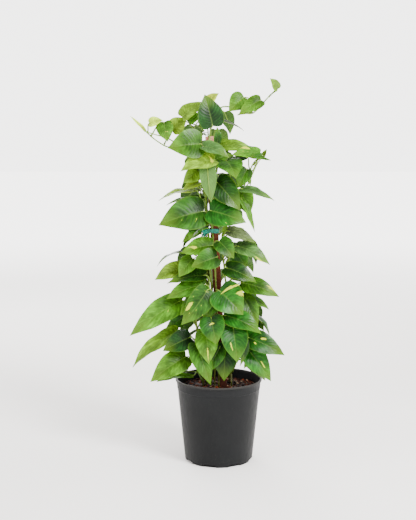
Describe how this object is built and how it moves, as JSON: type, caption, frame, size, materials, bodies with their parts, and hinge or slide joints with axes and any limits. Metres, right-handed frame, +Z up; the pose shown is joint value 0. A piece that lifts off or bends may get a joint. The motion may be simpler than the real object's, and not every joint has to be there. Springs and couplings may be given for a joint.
{
  "type": "potted golden pothos",
  "caption": "Climbing golden pothos with heart-shaped leaves on a wooden stake, in a round tapered nursery pot filled with bark mix.",
  "frame": {"origin": "middle of the flat underside of the pot, on the surface it stands on", "axes": "+Z up, +X to the right and -Y towards the eye in the view that shows the plant's front"},
  "size_m": [0.4526, 0.341, 1.1262],
  "materials": {
    "pot": "satin",
    "potting_mix": "matte",
    "stake": "matte",
    "tie_tape": "satin",
    "foliage": "satin"
  },
  "bodies": {
    "root": {"pot": "pot", "potting_mix": "potting_mix", "stake": "stake", "tie_tape": "tie_tape", "vine_front_left": "foliage", "vine_front_right": "foliage", "vine_crown": "foliage", "vine_left": "foliage", "vine_right": "foliage", "vine_low_left": "foliage", "vine_front_low": "foliage", "vine_low_right": "foliage", "vine_back_left": "foliage", "vine_back_right": "foliage", "vine_back_low": "foliage"}
  },
  "joints": []
}
